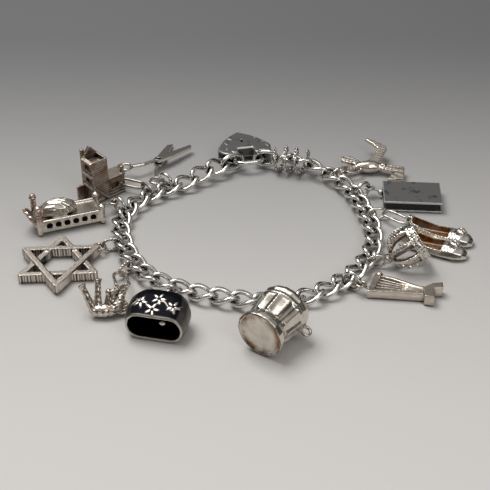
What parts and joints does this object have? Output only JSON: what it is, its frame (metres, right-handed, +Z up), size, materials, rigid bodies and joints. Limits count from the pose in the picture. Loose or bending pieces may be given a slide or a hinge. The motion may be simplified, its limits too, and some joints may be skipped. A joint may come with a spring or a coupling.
{
  "type": "charm bracelet",
  "caption": "Silver curb-link charm bracelet closed by a heart padlock, with small charms lying round the loop.",
  "frame": {"origin": "middle of the wrist loop, on the surface that the bracelet lies on", "axes": "+Z up; +X to the right across the loop; +Y away from the front of the loop, towards the padlock"},
  "size_m": [0.1107, 0.096, 0.0145],
  "materials": {
    "polished_silver": "polished sterling silver, bright on the high spots",
    "worn_silver": "worn cast silver with dark recesses and a warm tone",
    "oxidised_silver": "darkened silver, rubbed bright on the edges",
    "brushed_silver": "brushed grey silver plate"
  },
  "bodies": {
    "bracelet": {"link_01": "polished_silver", "link_02": "polished_silver", "link_03": "polished_silver", "link_04": "polished_silver", "link_05": "polished_silver", "link_06": "polished_silver", "link_07": "polished_silver", "link_08": "polished_silver", "link_09": "polished_silver", "link_10": "polished_silver", "link_11": "polished_silver", "link_12": "polished_silver", "link_13": "polished_silver", "link_14": "polished_silver", "link_15": "polished_silver", "link_16": "polished_silver", "link_17": "polished_silver", "link_18": "polished_silver", "link_19": "polished_silver", "link_20": "polished_silver", "link_21": "polished_silver", "link_22": "polished_silver", "link_23": "polished_silver", "link_24": "polished_silver", "link_25": "polished_silver", "link_26": "polished_silver", "link_27": "polished_silver", "link_28": "polished_silver", "link_29": "polished_silver", "link_30": "polished_silver", "link_31": "polished_silver", "link_32": "polished_silver", "link_33": "polished_silver", "link_34": "polished_silver", "link_35": "polished_silver", "link_36": "polished_silver", "link_37": "polished_silver", "link_38": "polished_silver", "padlock_body": "brushed_silver", "safety_chain": "worn_silver", "bird": "polished_silver", "book": "brushed_silver", "book_ring": "polished_silver", "crown": "oxidised_silver", "shoes": "worn_silver", "harp": "worn_silver", "harp_ring": "polished_silver", "pot": "worn_silver", "bell": "oxidised_silver", "bell_clapper": "worn_silver", "horse": "worn_silver", "star": "worn_silver", "bed": "worn_silver", "bed_ring": "polished_silver", "house": "oxidised_silver", "scissors_lower_half": "worn_silver", "scissors_ring": "polished_silver"},
    "shackle": {"padlock_shackle": "polished_silver"},
    "scissors_half": {"scissors_upper_half": "worn_silver"}
  },
  "joints": [
    {"name": "shackle_hinge", "type": "hinge", "parent": "bracelet", "child": "shackle", "pos_m": [-0.00318, 0.03272, 0.00273], "axis": [0.0181, -0.0853, -0.9962], "range_deg": [0, 24]},
    {"name": "scissors_pivot", "type": "hinge", "parent": "bracelet", "child": "scissors_half", "pos_m": [-0.02345, 0.03129, 0.00263], "axis": [0.0349, 0.0644, 0.9973], "range_deg": [0, 28]}
  ]
}
